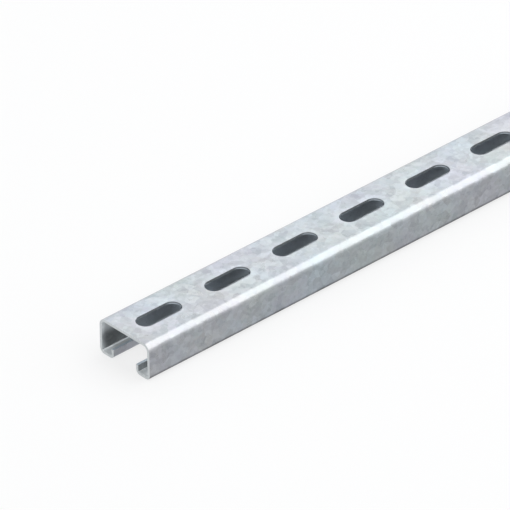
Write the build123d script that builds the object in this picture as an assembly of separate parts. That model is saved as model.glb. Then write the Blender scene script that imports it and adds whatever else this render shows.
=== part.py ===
from build123d import *
import os

# Strut channel: one length of slotted steel rail, cold rolled from zinc-coated strip.
# Frame, in millimetres: X runs along the rail, Y across it, and Z up. The origin is in
# the middle of the underside, where the two lips rest on the floor, mouth down.

# Driving dimensions of the rolled section. Bend radii are on the outside of the bend.
LENGTH = 1000.0
WIDTH = 40.0
HEIGHT = 22.5
WALL = 1.75
MOUTH_WIDTH = 18.0
RETURN_HEIGHT = 6.0
WEB_BEND_RADIUS = 4.75
LIP_BEND_RADIUS = 3.25
RETURN_BEND_RADIUS = 3.0

# Driving dimensions of the row of slots punched through the web.
SLOT_LENGTH = 30.0
SLOT_WIDTH = 11.0
SLOT_PITCH = 50.0
END_TO_SLOT = 10.0


def outer_line():
    """The strip's outer face in the YZ plane, from one return's tip round to the other's."""
    flange_y = WIDTH / 2
    mouth_y = MOUTH_WIDTH / 2
    corners = [
        (-mouth_y, RETURN_HEIGHT),
        (-mouth_y, 0),
        (-flange_y, 0),
        (-flange_y, HEIGHT),
        (flange_y, HEIGHT),
        (flange_y, 0),
        (mouth_y, 0),
        (mouth_y, RETURN_HEIGHT),
    ]
    one_side = [RETURN_BEND_RADIUS, LIP_BEND_RADIUS, WEB_BEND_RADIUS]
    return FilletPolyline(*corners, radius=one_side + one_side[::-1])


def rolled_section():
    """The strip's cross-section: one wall thickness everywhere, inside the outer line."""
    strip = offset(outer_line(), amount=WALL, side=Side.RIGHT)
    return Plane.YZ * make_face(strip)


def rolled_rail():
    """The unpunched rail, centred along its length."""
    return extrude(rolled_section(), amount=LENGTH / 2, both=True)


def slot_centres():
    """Where the slots lie along X: as many as leave whole steel at both ends."""
    first = END_TO_SLOT + SLOT_LENGTH / 2
    count = int((LENGTH - 2 * first) / SLOT_PITCH + 1e-6) + 1
    return [first - LENGTH / 2 + index * SLOT_PITCH for index in range(count)]


def slot_punches():
    """One round-ended punch for each slot, reaching through the web alone."""
    face = SlotOverall(SLOT_LENGTH, SLOT_WIDTH)
    punch = extrude(face, amount=WALL, both=True)
    return [Pos(x, 0, HEIGHT) * punch for x in slot_centres()]


def strut_channel():
    """The finished channel: the rolled rail with its row of slots."""
    return rolled_rail() - slot_punches()


os.makedirs("parts", exist_ok=True)
channel = strut_channel()
channel.label = "strut_channel"
export_step(channel, "parts/strut_channel.step")
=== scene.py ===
import math

import bmesh
import bpy
from bpy.props import FloatProperty, FloatVectorProperty, IntProperty, PointerProperty
from mathutils import Matrix, Vector


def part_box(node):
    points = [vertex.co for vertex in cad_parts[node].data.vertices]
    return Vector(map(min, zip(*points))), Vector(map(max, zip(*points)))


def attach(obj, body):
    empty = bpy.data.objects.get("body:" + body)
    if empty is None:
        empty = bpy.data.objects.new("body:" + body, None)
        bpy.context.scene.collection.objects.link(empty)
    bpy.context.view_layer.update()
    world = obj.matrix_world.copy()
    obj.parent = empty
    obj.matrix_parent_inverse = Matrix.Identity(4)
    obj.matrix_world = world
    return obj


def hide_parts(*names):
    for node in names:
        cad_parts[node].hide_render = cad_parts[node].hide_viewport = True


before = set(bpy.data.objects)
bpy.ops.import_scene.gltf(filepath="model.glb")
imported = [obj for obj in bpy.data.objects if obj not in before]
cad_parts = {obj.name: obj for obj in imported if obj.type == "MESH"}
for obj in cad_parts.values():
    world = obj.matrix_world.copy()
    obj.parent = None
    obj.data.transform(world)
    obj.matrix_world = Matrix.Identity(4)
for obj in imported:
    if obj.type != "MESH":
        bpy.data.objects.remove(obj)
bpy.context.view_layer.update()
rail_low, rail_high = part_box("strut_channel")

bl_info = {
    "name": "Strut channel",
    "version": (1, 0, 0),
    "blender": (4, 5, 0),
    "location": "View3D > Sidebar > Strut channel",
    "description": "Models a slotted strut channel in zinc-coated steel, and a stage to show it on",
    "category": "Add Mesh",
}

MM = 0.001

# A difference this small is only rounding.
TINY = 1e-6

# Near enough to be in one place, when edges and faces are picked or copies are joined.
NEAR = 1e-5

# Where three of the rail's materials stand among its slots. The zinc coat is at 0.
INSIDE, PUNCHED, SAWN = 1, 2, 3

# Flat web that the first sheet keeps beside a slot.
SHEET_MARGIN = 7 * MM

# The rim sinks in four rings. Each has this share of its width, and the narrower the
# ring, the more it sinks.
RIM_SHARES = (0.35, 0.30, 0.20, 0.15)

# Edges that turn by more than the first angle are rounded, and by more than the second
# are shaded sharp.
ROUNDED_ANGLE = math.radians(55)
SHARP_ANGLE = math.radians(40)

# Each softbox: its name, the setting with its brightness, its direction from the near
# end, and its sides along and across the rail.
SOFTBOXES = (
    ("overhead_softbox", "top_light", (0.56, -0.36, 0.75), (3.6, 4.7)),
    ("back_softbox", "back_light", (0.56, 0.62, 0.54), (3.6, 2.4)),
    ("end_softbox", "end_light", (-0.75, -0.30, 0.58), (3.0, 3.0)),
)
SOFTBOX_DISTANCE = 3.0


# ---------------------------------------------------------------------------------------
# Sizes and colours that a user would change
# ---------------------------------------------------------------------------------------

def length_property(name, description, default, precision=5):
    """A length in metres, shown in the scene's own units."""
    return FloatProperty(name=name, description=description, default=default, min=0.0,
                         unit="LENGTH", precision=precision)


def colour_property(name, description, default):
    """A linear RGB colour."""
    return FloatVectorProperty(name=name, description=description, default=default, size=3,
                               min=0.0, max=1.0, subtype="COLOR")


def amount_property(name, description, default):
    """A plain number that isn't below 0."""
    return FloatProperty(name=name, description=description, default=default, min=0.0)


def angle_property(name, description, degrees):
    """An angle, kept in radians and shown in degrees."""
    return FloatProperty(name=name, description=description, default=math.radians(degrees),
                         subtype="ANGLE", unit="ROTATION")


class ChannelSizes(bpy.types.PropertyGroup):
    """The rolled section, its row of slots and how finely both are meshed."""

    length: length_property("Length", "Length of the rail", rail_high.x - rail_low.x)
    width: length_property("Width", "Width across the flanges", rail_high.y - rail_low.y)
    height: length_property("Height", "Height from the lips to the web", rail_high.z - rail_low.z)
    wall: length_property("Wall", "Thickness of the strip", 1.75 * MM)
    mouth: length_property("Mouth", "Gap between the two lips", 18 * MM)
    return_height: length_property("Return height", "Height of the lips' upturned edges", 6 * MM)
    web_bend: length_property("Web bend", "Outside radius between web and flange", 4.75 * MM)
    lip_bend: length_property("Lip bend", "Outside radius between flange and lip", 3.25 * MM)
    return_bend: length_property("Return bend", "Outside radius between lip and return", 3 * MM)
    slot_length: length_property("Slot length", "Slot, end to end", 30 * MM)
    slot_width: length_property("Slot width", "Slot, side to side", 11 * MM)
    slot_pitch: length_property("Slot pitch", "From one slot to the next", 50 * MM)
    end_to_slot: length_property("End to slot", "Steel left between an end and a slot", 10 * MM)
    rim_width: length_property("Rim width", "Width of the sunken rim round a slot", 1.2 * MM)
    rim_sink: length_property("Rim sink", "How far the punch draws a slot's edge down", 0.16 * MM)
    edge_radius: length_property("Edge radius", "Rounding of the cut edges", 0.10 * MM)
    arc_steps: IntProperty(name="Arc steps", description="Faces in each quarter of a slot's end",
                           default=12, min=4, max=24)
    bend_steps: IntProperty(name="Bend steps", description="Faces across each rolled bend",
                            default=9, min=3, max=24)


class ChannelFinish(bpy.types.PropertyGroup):
    """Colours and pattern of the zinc coat, with its painted highlight, sheen and shade, and
    colours of the steel where it is cut.
    """

    zinc_violet: colour_property("Violet zinc", "Crystals of the coat with a violet cast",
                                 (0.346, 0.354, 0.378))
    zinc_green: colour_property("Green zinc", "Crystals of the coat with a green cast",
                                (0.340, 0.388, 0.404))
    # Paler than the coat outside: painted fill light inside the rail.
    zinc_inside: colour_property("Zinc inside", "Duller coat inside the rail",
                                 (0.55, 0.585, 0.618))
    sawn_steel: colour_property("Sawn steel", "Steel at the sawn ends", (0.595, 0.627, 0.638))
    # Darker than the sawn steel: painted shade on the slots' walls. The slit edges are lifted to
    # about the sawn steel's tone.
    punched_steel: colour_property("Punched steel", "Steel at punched slots and slit edges",
                                   (0.27, 0.30, 0.325))
    spangle: length_property("Spangle", "Size of the large zinc crystals", 5.5 * MM)
    fine_spangle: length_property("Fine spangle", "Size of the small zinc crystals", 2.31 * MM)
    spangle_tone: amount_property("Spangle tone", "How much the large crystals' tones differ",
                                  0.20)
    fine_tone: amount_property("Fine tone", "How much the small crystals' tones differ", 0.17)
    grain_tone: amount_property("Grain tone", "How much the grain's tones differ", 0.24)
    # Painted highlight: the bend beside the web made brighter, in place of a brighter overhead
    # lamp.
    bend_highlight_gain: amount_property("Highlight", "How much brighter the bend beside the web is", 0.272)
    # Painted shade: the bend to the lip made darker, for the floor's shadow that it mirrors.
    squeeze: amount_property("Shading", "How much darker the bend to the lip is", 0.768)
    # Painted sheen: the coat round a slot made brighter, for the dished coat's reflection.
    slot_sheen_gain: amount_property("Sheen", "How much brighter the coat is round a slot", 0.08)


class StageSettings(bpy.types.PropertyGroup):
    """The floor, the lamps and the camera."""

    floor_size: length_property("Floor size", "Side of the square floor", 14.0)
    floor_colour: colour_property("Floor colour", "Paper that covers the floor",
                                  (0.24, 0.24, 0.24))
    floor_glow: amount_property("Floor glow", "Whiteness that shows on top of the paper's", 0.73)
    top_light: amount_property("Overhead lamp", "Brightness of the overhead softbox", 1.3)
    back_light: amount_property("Back lamp", "Brightness of the softbox behind", 0.845)
    end_light: amount_property("End lamp", "Brightness of the softbox at the near end", 0.9)
    room_light: amount_property("Room light", "Light that the room gives", 0.5)
    room_shown: amount_property("Room shown", "Whiteness of the room where it shows", 1.0)
    azimuth: angle_property("Azimuth", "Where the camera stands round the rail", -42.19)
    elevation: angle_property("Elevation", "How far the camera looks down", 32.96)
    roll: angle_property("Roll", "Tilt of the camera about its line of sight", 0.823)
    distance: length_property("Distance", "From the camera to its aim", 4.03, precision=3)
    aim: FloatVectorProperty(name="Aim", description="Aim, from the middle of the near end's foot",
                             default=(0.06686, -0.03154, 0.05621), size=3, subtype="XYZ",
                             unit="LENGTH")
    lens: FloatProperty(name="Focal length", description="Focal length of the lens, in mm",
                        default=530.9, min=1.0)


# ---------------------------------------------------------------------------------------
# Materials
# ---------------------------------------------------------------------------------------

class Value:
    """A shader socket that Python's operators act on, each adding its Math node."""

    def __init__(self, tree, socket):
        self.tree = tree
        self.socket = socket

    def math(self, operation, *others):
        """A Math node on this value and the others."""
        inputs = dict(enumerate((self, *others)))
        node = self.tree.node("ShaderNodeMath", {"operation": operation}, inputs)
        return Value(self.tree, node.outputs[0])

    def __add__(self, other):
        return self.math("ADD", other)

    def __radd__(self, other):
        return self.math("ADD", other)

    def __sub__(self, other):
        return self.math("SUBTRACT", other)

    def __rsub__(self, other):
        return self * -1 + other

    def __mul__(self, other):
        return self.math("MULTIPLY", other)

    def __rmul__(self, other):
        return self.math("MULTIPLY", other)


class Shader:
    """The node tree of a material or of the world, built one call at a time."""

    def __init__(self, owner):
        owner.use_nodes = True
        self.owner = owner
        self.nodes = owner.node_tree.nodes
        self.links = owner.node_tree.links
        self.nodes.clear()

    def node(self, kind, settings=None, inputs=None):
        """Adds a node: its settings first, then the values or links of its sockets."""
        made = self.nodes.new(kind)
        for name, value in (settings or {}).items():
            setattr(made, name, value)
        for name, value in (inputs or {}).items():
            if isinstance(value, Value):
                self.links.new(value.socket, made.inputs[name])
            else:
                made.inputs[name].default_value = value
        return made

    def out(self, kind, settings=None, inputs=None, output=0):
        """Adds a node that only one output is wanted of, and gives that output."""
        return Value(self, self.node(kind, settings, inputs).outputs[output])

    def place(self):
        """The point in the object's own coordinates, in metres."""
        return self.out("ShaderNodeTexCoord", output="Object")

    def vector(self, operation, first, second=(0.0, 0.0, 0.0)):
        """A Vector Math node on one or two vectors or colours."""
        return self.out("ShaderNodeVectorMath", {"operation": operation}, {0: first, 1: second})

    def noise(self, place, size, detail, roughness=0.5, output="Fac"):
        """Cloudy values from 0 to 1, whose largest patches are about this size."""
        return self.out("ShaderNodeTexNoise", None,
                        {"Vector": place, "Scale": 1 / size, "Detail": detail,
                         "Roughness": roughness}, output)

    def ranged(self, value, low, high):
        """0 at the low value, 1 at the high one, and smooth between."""
        return self.out("ShaderNodeMapRange", {"interpolation_type": "SMOOTHSTEP"},
                        {"Value": value, "From Min": low, "From Max": high})

    def blend(self, factor, first, second):
        """The first colour where the factor is 0, the second where it is 1."""
        return self.out("ShaderNodeMix", {"data_type": "RGBA"},
                        {0: factor, 6: first, 7: second}, 2)

    def split(self, vector):
        """A vector's or a colour's three values."""
        node = self.node("ShaderNodeSeparateXYZ", None, {"Vector": vector})
        return [Value(self, socket) for socket in node.outputs]

    def dyed(self, colour, red, green, blue):
        """The colour with each of its three values times one of these."""
        dye = self.out("ShaderNodeCombineXYZ", None, {0: red, 1: green, 2: blue})
        return self.vector("MULTIPLY", colour, dye)

    def shaded(self, colour, tone):
        """The colour made lighter or darker by a tone round 1."""
        return self.dyed(colour, tone, tone, tone)

    def bump(self, height, strength, distance):
        """The normal of a surface with this relief."""
        return self.out("ShaderNodeBump", None,
                        {"Strength": strength, "Distance": distance, "Height": height},
                        "Normal")

    def metal(self, colour, metallic, roughness, normal):
        """Ends a material's tree with a metal surface."""
        surface = self.node("ShaderNodeBsdfPrincipled", None,
                            {"Base Color": colour, "Metallic": metallic,
                             "Roughness": roughness, "Normal": normal})
        return self.surface(surface)

    def surface(self, shader, output="ShaderNodeOutputMaterial"):
        """Ends the tree with this shader, and gives the tree's owner."""
        end = self.node(output)
        self.links.new(shader.outputs[0], end.inputs["Surface"])
        return self.owner

    def shown(self):
        """1 for rays that show the stage itself: straight, mirrored or through glass."""
        ray = self.node("ShaderNodeLightPath")
        seen = Value(self, ray.outputs["Is Camera Ray"])
        seen = seen.math("MAXIMUM", Value(self, ray.outputs["Is Glossy Ray"]))
        return seen.math("MAXIMUM", Value(self, ray.outputs["Is Transmission Ray"]))


def rgba(colour):
    """The colour with an alpha of 1."""
    return (*colour, 1.0)


def centred(s, colour):
    """Three values from 0 to 1, moved to lie from -0.5 to 0.5."""
    return s.vector("SUBTRACT", colour, (0.5, 0.5, 0.5))


def crystals(s, size, shift=0.0):
    """Zinc crystals of uneven outline: three random values for each, from 0 to 1."""
    place = s.vector("ADD", s.place(), (shift, 0.0, 0.0))
    waver = s.noise(place, 0.8 * size, detail=1.0, output="Color")
    waver = s.vector("MULTIPLY", centred(s, waver), (0.6 * size,) * 3)
    return s.out("ShaderNodeTexVoronoi", {"feature": "F1"},
                 {"Vector": s.vector("ADD", place, waver), "Scale": 1 / size}, "Color")


def along_pitch(s, sizes):
    """How far along the rail a point is from the middle of the nearest slot."""
    along = s.split(s.place())[0]
    first = sizes.end_to_slot + sizes.slot_length / 2 - sizes.length / 2
    return (along - first).math("PINGPONG", sizes.slot_pitch / 2)


def straight_half(sizes):
    """How far a slot's straight sides reach from its middle."""
    return (sizes.slot_length - sizes.slot_width) / 2


def from_slot(s, sizes):
    """How far outside the nearest slot's edge a point of the web is."""
    past = (along_pitch(s, sizes) - straight_half(sizes)).math("MAXIMUM", 0.0)
    across = s.split(s.place())[1]
    return (past * past + across * across).math("SQRT") - sizes.slot_width / 2


def slot_tip(s, sizes):
    """1 at the round ends of a slot, 0 along its straight sides."""
    straight = straight_half(sizes)
    return s.ranged(along_pitch(s, sizes), straight, straight + 3 * MM)


def in_section(s, sizes):
    """How far a point is in from the flange's outer face, below the web's, and how high."""
    across, height = s.split(s.place())[1:]
    return sizes.width / 2 - across.math("ABSOLUTE"), sizes.height - height, height


def lip_bend_shade_mask(s, sizes):
    """1 along the bend between flange and lip, where the coat gets painted shade."""
    inward, _, height = in_section(s, sizes)
    return s.ranged(inward, 5 * MM, 3 * MM) * s.ranged(height, 3.6 * MM, 1.6 * MM)


def bend_highlight_mask(s, sizes):
    """1 along the bend between web and flange, where the coat gets a painted highlight."""
    inward, below, _ = in_section(s, sizes)
    return s.ranged(inward, 4.3 * MM, 2.8 * MM) * s.ranged(below, 4.5 * MM, 2.5 * MM)


def smoothed_bend(s, sizes):
    """1 along the middle of that bend, where the rolls smooth the crystals away."""
    inward, below, _ = in_section(s, sizes)
    return s.ranged(inward, 3.8 * MM, 2.4 * MM) * s.ranged(below, 2.2 * MM, 1.4 * MM)


def zinc_coat(finish, sizes):
    """Hot-dipped zinc outside: large and small crystals, each a slightly different grey, with a
    painted highlight and painted shade on the bends, and painted sheen and shade round the slots.
    """
    s = Shader(bpy.data.materials.new("zinc_coat"))
    large = crystals(s, finish.spangle)
    small = crystals(s, finish.fine_spangle, shift=3.0)
    large_shade, large_tint, gloss = s.split(large)
    small_shade, small_tint, dullness = s.split(small)
    grain = s.noise(s.place(), 0.7 * MM, detail=3.0, roughness=0.6)
    cloud = s.noise(s.place(), 32 * MM, detail=0.0, output="Color")
    tint_drift, blue_drift, _ = s.split(centred(s, cloud))

    # Painted light and shade: a highlight on the web's bend, shade on the lip's bend, a sheen round
    # each slot and shade at its edge. The dish round each slot is relief.
    bend_highlight = bend_highlight_mask(s, sizes)
    lip_bend_shade = lip_bend_shade_mask(s, sizes)
    slot_edge = from_slot(s, sizes)
    # Painted sheen: brighter within a few millimetres of a slot's edge.
    slot_sheen = s.ranged(slot_edge, 4.5 * MM, 1.5 * MM)
    dished = s.ranged(slot_edge, 5 * MM, 0.0)
    # Painted shade: a dark line along a slot's edge, fainter at its round ends.
    slot_edge_shade = s.ranged(slot_edge, 0.5 * MM, 0.1 * MM) * (0.24 - slot_tip(s, sizes) * 0.12)

    # The tint, from violet to green, and the share of blue in it, a little warmer in the painted
    # highlight and cooler in the painted shade on the bends.
    tint = tint_drift * 1.45 + large_tint * 0.35 + small_tint * 0.25 - 0.01
    colour = s.blend(tint, rgba(finish.zinc_violet), rgba(finish.zinc_green))
    red = bend_highlight * 0.022 - lip_bend_shade * 0.02 + 1
    blue = blue_drift * 0.13 + gloss * 0.03 + dullness * 0.03 + 0.975
    blue = blue - bend_highlight * 0.025 + lip_bend_shade * 0.015
    colour = s.dyed(colour, red, 1.0, blue)

    # The tone: random mottle, fainter along the bend's middle, with the painted highlight, sheen
    # and shade.
    mottle = (large_shade - 0.5) * finish.spangle_tone + (small_shade - 0.5) * finish.fine_tone
    mottle = mottle + (grain - 0.5) * finish.grain_tone
    tone = mottle * (1 - smoothed_bend(s, sizes) * 0.7) + 1
    tone = tone + slot_sheen * finish.slot_sheen_gain + bend_highlight * finish.bend_highlight_gain
    tone = tone - slot_edge_shade - lip_bend_shade * finish.squeeze
    colour = s.shaded(colour, tone)

    # The gloss and the relief, whose heights are tenths of a millimetre.
    roughness = gloss * 0.08 + dullness * 0.05 + grain * 0.06 + 0.24
    relief = large_shade * 0.4 + small_shade * 0.3 + grain * 0.5 - dished * 12
    lean = s.vector("MULTIPLY", centred(s, large), (0.05, 0.05, 0.05))
    normal = s.vector("ADD", s.bump(relief, 0.12, 0.1 * MM), lean)
    return s.metal(colour, 0.9, roughness, s.vector("NORMALIZE", normal))


def zinc_inside(finish, sizes):
    """The same coat inside: dull, paler than outside as painted fill light, with painted shade on
    the flanges near the sawn ends but for painted light in the troughs and creases.
    """
    s = Shader(bpy.data.materials.new("zinc_inside"))
    shade, _, gloss = s.split(crystals(s, finish.spangle))
    feather = s.noise(s.place(), 1.5 * MM, detail=4.0)
    inward, below, height = in_section(s, sizes)

    # Places by the sawn ends.
    from_end = sizes.length / 2 - s.split(s.place())[0].math("ABSOLUTE")
    by_end = s.ranged(from_end, 35 * MM, 15 * MM)
    at_end = s.ranged(from_end, 9 * MM, 4 * MM)
    sawn = s.ranged(from_end, 3.5 * MM, 0.0)

    # Places in the section: a lip's inner face, the creases beside it, and the flanges.
    above_lip = height - sizes.wall
    trough = s.ranged(above_lip, 0.7 * MM, 0.35 * MM)
    crease = trough * s.ranged(above_lip, 0.01 * MM, 0.15 * MM)
    flange = s.ranged(inward, 8 * MM, 5 * MM) * (1 - trough)
    by_web = s.ranged(below, 13.5 * MM, 5.5 * MM)

    # The tone: painted light and shade near the sawn ends, darker on the flanges and paler in the
    # troughs and creases, and painted light that makes the coat brighter below the slots than
    # between them.
    flange_light_and_shade = flange * (sawn * 0.85 + by_web * 0.65 - 0.53)
    stain_and_painted_light = by_end * (flange_light_and_shade + trough * at_end * 0.75 + crease * 0.35)
    tone = shade * 0.14 + feather * 0.14 + stain_and_painted_light + 0.86
    tone = tone * (1.38 - along_pitch(s, sizes) * (1.04 / sizes.slot_pitch))
    colour = s.shaded(tuple(finish.zinc_inside), tone)
    colour = s.dyed(colour, by_end * 0.02 + 1, 1.0, 1 - by_end * 0.035)

    metallic = 0.75 - by_end * trough * 0.45
    return s.metal(colour, metallic, gloss * 0.08 + 0.38, s.bump(feather, 0.15, 0.1 * MM))


def tool_marks(s):
    """The fine scores that a tool leaves in steel, and the steel's tone with them."""
    place = s.place()
    score = s.noise(s.vector("MULTIPLY", place, (1.0, 1.0, 8.0)), 0.9 * MM, detail=3.0)
    stain_and_painted_light = s.noise(place, 3 * MM, detail=2.0)
    return score, score * 0.25 + stain_and_painted_light * 0.2 + 0.78


def cut_steel(s, colour, tone, score, roughness):
    """Ends a material's tree with bare, finely scored steel."""
    colour = s.shaded(tuple(colour), tone)
    return s.metal(colour, 0.85, score * 0.2 + roughness, s.bump(score, 0.2, 0.05 * MM))


def sawn_steel(finish):
    """Steel at the two ends, where the rail was sawn to length."""
    s = Shader(bpy.data.materials.new("sawn_steel"))
    score, tone = tool_marks(s)
    return cut_steel(s, finish.sawn_steel, tone, score, roughness=0.3)


def punched_steel(finish, sizes):
    """Steel of the slit edges, and of the slots' walls, with painted shade on the walls, darkest at
    the top.
    """
    s = Shader(bpy.data.materials.new("punched_steel"))
    score, tone = tool_marks(s)
    below = in_section(s, sizes)[1]
    in_slot = s.ranged(below, 7 * MM, 2 * MM)
    deep = s.ranged(below, 0.4 * MM, 1.5 * MM)
    slit_tone = 2.2
    # Painted shade on the slots' walls, darkest at their top and along their straight sides.
    wall_tone = deep * 0.6 + slot_tip(s, sizes) * (deep * 1.1 + 0.4) + 0.3
    tone = tone * ((wall_tone - slit_tone) * in_slot + slit_tone)
    return cut_steel(s, finish.punched_steel, tone, score, roughness=0.42)


# ---------------------------------------------------------------------------------------
# Modelling by hand
# ---------------------------------------------------------------------------------------

def edit(thing):
    """Makes one object the only selected one and goes into edit mode on it."""
    if bpy.context.object and bpy.context.object.mode != "OBJECT":
        bpy.ops.object.mode_set(mode="OBJECT")
    bpy.ops.object.select_all(action="DESELECT")
    bpy.context.view_layer.objects.active = thing
    thing.select_set(True)
    bpy.ops.object.mode_set(mode="EDIT")


def leave_edit():
    """Goes back to object mode."""
    bpy.ops.object.mode_set(mode="OBJECT")


def choose(kind, test):
    """In edit mode, selects just the edges or the faces that pass a test."""
    mesh = bpy.context.object.data
    bpy.ops.mesh.select_mode(type=kind)
    bpy.ops.mesh.select_all(action="DESELECT")
    form = bmesh.from_edit_mesh(mesh)
    for item in {"EDGE": form.edges, "FACE": form.faces}[kind]:
        if test(item):
            item.select_set(True)
    form.select_flush_mode()
    bmesh.update_edit_mesh(mesh)


def along_rail(edge, y, z):
    """Whether an edge runs along the rail, this far from its middle plane and this high."""
    return all(abs(abs(vert.co.y) - y) < NEAR and abs(vert.co.z - z) < NEAR
               for vert in edge.verts)


def finish_with(thing, kind, **settings):
    """Adds one modifier and applies it."""
    modifier = thing.modifiers.new(kind.title(), kind)
    for name, value in settings.items():
        setattr(modifier, name, value)
    bpy.context.view_layer.objects.active = thing
    bpy.ops.object.modifier_apply(modifier=modifier.name)


def slot_outline(sizes, middle):
    """A flat face with round ends: the outside of the rim round a slot."""
    rim = sizes.rim_width
    bpy.ops.mesh.primitive_plane_add(size=1, location=middle)
    sheet = bpy.context.object
    sheet.scale = (sizes.slot_length + 2 * rim, sizes.slot_width + 2 * rim, 1)
    bpy.ops.object.transform_apply(location=True, rotation=True, scale=True)
    edit(sheet)
    bpy.ops.mesh.select_all(action="SELECT")
    bpy.ops.mesh.bevel(offset_type="OFFSET", offset=sizes.slot_width / 2 + rim,
                       segments=sizes.arc_steps, profile=0.5, affect="VERTICES")
    bpy.ops.mesh.select_all(action="SELECT")
    bpy.ops.mesh.remove_doubles(threshold=TINY)
    return sheet


def sink_rim(sizes):
    """In edit mode, insets the slot's face ring by ring, each ring lower, and cuts it out."""
    bpy.ops.mesh.select_mode(type="FACE")
    bpy.ops.mesh.select_all(action="SELECT")
    for share in RIM_SHARES:
        sink = sizes.rim_sink * (0.5 - share)
        bpy.ops.mesh.inset(thickness=sizes.rim_width * share, depth=-sink)
    bpy.ops.mesh.delete(type="FACE")


def is_open_along(edge, axis):
    """Whether an edge has no face yet and keeps to one place on this axis."""
    first, second = edge.verts
    return not edge.link_faces and abs(first.co[axis] - second.co[axis]) < TINY


def frame_slot(sizes, middle, half_width):
    """In edit mode, adds the rectangle of one pitch of web, with as many vertices as the rim."""
    bpy.ops.mesh.select_mode(type="VERT")
    bpy.ops.mesh.select_all(action="DESELECT")
    bpy.ops.mesh.primitive_plane_add(size=1, location=middle)
    bpy.ops.transform.resize(value=(sizes.slot_pitch, 2 * half_width, 1), center_override=middle)
    bpy.ops.mesh.delete(type="ONLY_FACE")
    rim_edges = 4 * sizes.arc_steps + 2
    long_edges = rim_edges // 5
    short_edges = rim_edges // 2 - long_edges
    choose("EDGE", lambda edge: is_open_along(edge, 1))
    bpy.ops.mesh.subdivide(number_cuts=long_edges - 1)
    choose("EDGE", lambda edge: is_open_along(edge, 0))
    bpy.ops.mesh.subdivide(number_cuts=short_edges - 1)


def bridge_web(sizes, middle):
    """In edit mode, fills the web between the rectangle and the outside of the rim."""
    reach = sizes.slot_width / 2 + sizes.rim_width - NEAR
    straight = straight_half(sizes)

    def is_outline(edge):
        """Whether an edge is the rectangle's or the rim's outermost."""
        if len(edge.link_faces) == 2:
            return False
        if not edge.link_faces:
            return True
        past = [max(abs(vert.co.x - middle.x) - straight, 0) for vert in edge.verts]
        return all(math.hypot(x, vert.co.y) > reach for x, vert in zip(past, edge.verts))

    choose("EDGE", is_outline)
    bpy.ops.mesh.bridge_edge_loops(type="SINGLE", number_cuts=1, interpolation="LINEAR")


def slot_sheet(sizes, place_x, half_width):
    """One pitch of the flat web with a slot in its middle, as a sheet of even quads."""
    middle = Vector((place_x, 0, sizes.height))
    sheet = slot_outline(sizes, middle)
    sink_rim(sizes)
    frame_slot(sizes, middle, half_width)
    bridge_web(sizes, middle)
    leave_edit()
    return sheet


def fold_sides(sizes, sheet, half_width):
    """Folds flanges, lips and returns down from the web's two long edges, and rounds them."""
    middle = Vector((0, 0, sizes.height))
    edit(sheet)
    choose("EDGE", lambda edge: len(edge.link_faces) == 1
           and along_rail(edge, half_width, sizes.height))
    bpy.ops.mesh.extrude_region()
    bpy.ops.transform.resize(value=(1, sizes.width / 2 / half_width, 1), center_override=middle)
    bpy.ops.mesh.extrude_region()
    bpy.ops.transform.translate(value=(0, 0, -sizes.height))
    bpy.ops.mesh.extrude_region()
    bpy.ops.transform.resize(value=(1, sizes.mouth / sizes.width, 1), center_override=middle)
    bpy.ops.mesh.extrude_region()
    bpy.ops.transform.translate(value=(0, 0, sizes.return_height))

    folds = [
        (sizes.width / 2, sizes.height, sizes.web_bend),
        (sizes.width / 2, 0, sizes.lip_bend),
        (sizes.mouth / 2, 0, sizes.return_bend),
    ]
    for y, z, radius in folds:
        choose("EDGE", lambda edge: along_rail(edge, y, z))
        bpy.ops.mesh.bevel(offset_type="OFFSET", offset=radius, segments=sizes.bend_steps,
                           profile=0.5, affect="EDGES", clamp_overlap=False)
    leave_edit()


def face_outwards(sheet):
    """Turns the sheet's faces so that the web's look up."""
    edit(sheet)
    bpy.ops.mesh.select_all(action="SELECT")
    bpy.ops.mesh.normals_make_consistent(inside=False)
    form = bmesh.from_edit_mesh(sheet.data)
    top = max(form.faces, key=lambda face: face.calc_center_median().z)
    if top.normal.z < 0:
        bpy.ops.mesh.flip_normals()
    leave_edit()


def give_thickness(sizes, rail):
    """Gives the sheet the strip's wall on its inner side, and the two ends their material."""
    finish_with(rail, "SOLIDIFY", thickness=sizes.wall, offset=-1.0, use_even_offset=True,
                use_rim=True, material_offset=INSIDE, material_offset_rim=PUNCHED)
    edit(rail)
    choose("FACE", lambda face: abs(face.normal.x) > 0.99
           and abs(abs(face.calc_center_median().x) - sizes.length / 2) < NEAR)
    rail.active_material_index = SAWN
    bpy.ops.object.material_slot_assign()
    leave_edit()


def round_edges(sizes, rail):
    """Rounds the cut edges, and shades the rail smooth but for its sharp edges."""
    finish_with(rail, "BEVEL", width=sizes.edge_radius, segments=2, limit_method="ANGLE",
                angle_limit=ROUNDED_ANGLE, harden_normals=False)
    edit(rail)
    bpy.ops.mesh.select_all(action="SELECT")
    bpy.ops.mesh.remove_doubles(threshold=TINY)
    leave_edit()
    bpy.ops.object.shade_smooth_by_angle(angle=SHARP_ANGLE)
    finish_with(rail, "WEIGHTED_NORMAL", mode="FACE_AREA", weight=50, keep_sharp=True)


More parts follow.
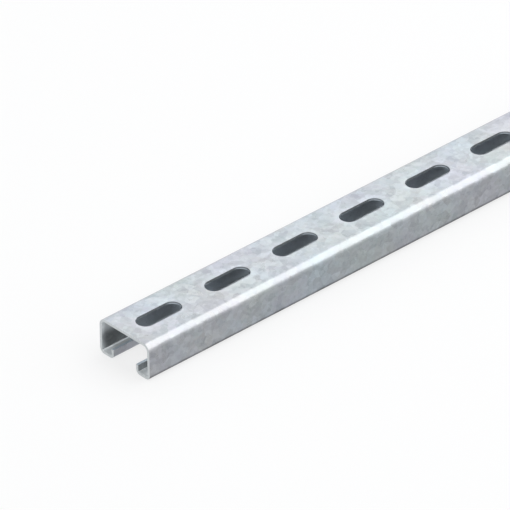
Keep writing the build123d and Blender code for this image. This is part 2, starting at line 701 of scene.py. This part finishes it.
class STRUT_OT_channel(bpy.types.Operator):
    """Model the rolled, slotted rail as one mesh"""

    bl_idname = "strut.channel"
    bl_label = "Strut channel"
    bl_options = {"REGISTER", "UNDO"}

    def execute(self, context):
        sizes = context.scene.channel_sizes
        finish = context.scene.channel_finish
        bpy.ops.object.select_all(action="DESELECT")

        half_width = sizes.slot_width / 2 + SHEET_MARGIN
        first = sizes.end_to_slot + sizes.slot_length / 2
        count = int((sizes.length - 2 * first) / sizes.slot_pitch + TINY) + 1
        rail = slot_sheet(sizes, first - sizes.length / 2, half_width)
        finish_with(rail, "ARRAY", count=count, use_relative_offset=False,
                    use_constant_offset=True, constant_offset_displace=(sizes.slot_pitch, 0, 0),
                    use_merge_vertices=True, merge_threshold=NEAR)
        fold_sides(sizes, rail, half_width)
        face_outwards(rail)

        rail.name = "channel_rail"
        rail.data.name = "channel_rail"
        rail.data.materials.append(zinc_coat(finish, sizes))
        rail.data.materials.append(zinc_inside(finish, sizes))
        rail.data.materials.append(punched_steel(finish, sizes))
        rail.data.materials.append(sawn_steel(finish))
        give_thickness(sizes, rail)
        round_edges(sizes, rail)

        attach(rail, "root")
        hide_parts("strut_channel")
        return {"FINISHED"}


# ---------------------------------------------------------------------------------------
# Stage
# ---------------------------------------------------------------------------------------

def floor_paper(stage):
    """White studio paper: it stays white round the rail and keeps the rail's soft shadow."""
    s = Shader(bpy.data.materials.new("floor_paper"))
    paper = s.out("ShaderNodeBsdfDiffuse", None, {"Color": rgba(stage.floor_colour)})
    glow = s.out("ShaderNodeEmission", None, {"Strength": stage.floor_glow})
    both = s.out("ShaderNodeAddShader", None, {0: paper, 1: glow})
    mixed = s.node("ShaderNodeMixShader", None, {0: s.shown(), 1: paper, 2: both})
    return s.surface(mixed)


def white_room(stage):
    """The room round the stage: white where it shows, and a dimmer, cool light elsewhere."""
    s = Shader(bpy.data.worlds.new("white_room"))
    light = s.out("ShaderNodeBackground", None,
                  {"Color": (0.96, 0.98, 1.0, 1.0), "Strength": stage.room_light})
    white = s.out("ShaderNodeBackground", None,
                  {"Color": (0.97, 0.985, 1.0, 1.0), "Strength": stage.room_shown})
    mixed = s.node("ShaderNodeMixShader", None, {0: s.shown(), 1: light, 2: white})
    return s.surface(mixed, "ShaderNodeOutputWorld")


def softbox(name, brightness, direction, sides, target):
    """A lamp this way from the target, where a brightness of 1 is that of a lit white wall."""
    lamp = bpy.data.lights.new(name, "AREA")
    lamp.shape = "RECTANGLE"
    lamp.size, lamp.size_y = sides
    lamp.energy = brightness * math.pi * lamp.size * lamp.size_y
    thing = bpy.data.objects.new(name, lamp)
    bpy.context.scene.collection.objects.link(thing)
    outward = Vector(direction).normalized()
    across = outward.cross(Vector((1, 0, 0))).normalized()
    along = across.cross(outward)
    turn = Matrix((along, across, outward)).transposed().to_4x4()
    thing.matrix_world = Matrix.Translation(target + outward * SOFTBOX_DISTANCE) @ turn


def stand_camera(stage, near_end):
    """Puts the camera at its azimuth, elevation, roll and distance from the aim."""
    level = math.cos(stage.elevation)
    look = Vector((-math.sin(stage.azimuth) * level, math.cos(stage.azimuth) * level,
                   -math.sin(stage.elevation)))
    side = look.cross(Vector((0, 0, 1))).normalized()
    down = look.cross(side)
    right = side * math.cos(stage.roll) + down * math.sin(stage.roll)
    up = -look.cross(right)
    turn = Matrix((right, up, -look)).transposed().to_4x4()
    data = bpy.data.cameras.new("camera")
    data.lens = stage.lens
    data.clip_start = 0.01
    data.clip_end = 100.0
    camera = bpy.data.objects.new("camera", data)
    bpy.context.scene.collection.objects.link(camera)
    aim = near_end + Vector(stage.aim)
    camera.matrix_world = Matrix.Translation(aim - look * stage.distance) @ turn
    bpy.context.scene.camera = camera


class STRUT_OT_stage(bpy.types.Operator):
    """Set out the floor, the lamps and the camera"""

    bl_idname = "strut.stage"
    bl_label = "Stage"
    bl_options = {"REGISTER", "UNDO"}

    def execute(self, context):
        scene = context.scene
        stage = scene.channel_stage
        bpy.ops.object.select_all(action="DESELECT")
        bpy.ops.mesh.primitive_plane_add(size=stage.floor_size, location=(0, 0, rail_low.z))
        floor = context.object
        floor.name = "floor"
        bpy.ops.object.transform_apply(location=True, rotation=True, scale=True)
        floor.data.materials.append(floor_paper(stage))

        near_end = Vector((rail_low.x, 0, rail_low.z))
        for name, setting, direction, sides in SOFTBOXES:
            softbox(name, getattr(stage, setting), direction, sides, near_end)
        scene.world = white_room(stage)

        scene.view_settings.view_transform = "Standard"
        stand_camera(stage, near_end)
        return {"FINISHED"}


# ---------------------------------------------------------------------------------------
# Add-on
# ---------------------------------------------------------------------------------------

class STRUT_PT_panel(bpy.types.Panel):
    """Sidebar panel with the sizes, the colours and the operators"""

    bl_idname = "STRUT_PT_panel"
    bl_label = "Strut channel"
    bl_space_type = "VIEW_3D"
    bl_region_type = "UI"
    bl_category = "Strut channel"

    def draw(self, context):
        scene = context.scene
        groups = [
            (scene.channel_sizes, "strut.channel"),
            (scene.channel_finish, None),
            (scene.channel_stage, "strut.stage"),
        ]
        for group, operator in groups:
            box = self.layout.box()
            for name in group.__annotations__:
                box.prop(group, name)
            if operator:
                box.operator(operator)


classes = (ChannelSizes, ChannelFinish, StageSettings, STRUT_OT_channel, STRUT_OT_stage,
           STRUT_PT_panel)


def register():
    for made in classes:
        bpy.utils.register_class(made)
    bpy.types.Scene.channel_sizes = PointerProperty(type=ChannelSizes)
    bpy.types.Scene.channel_finish = PointerProperty(type=ChannelFinish)
    bpy.types.Scene.channel_stage = PointerProperty(type=StageSettings)


def unregister():
    del bpy.types.Scene.channel_stage
    del bpy.types.Scene.channel_finish
    del bpy.types.Scene.channel_sizes
    for made in reversed(classes):
        bpy.utils.unregister_class(made)


def main():
    register()
    bpy.ops.strut.channel()
    bpy.ops.strut.stage()


if __name__ == "__main__":
    main()
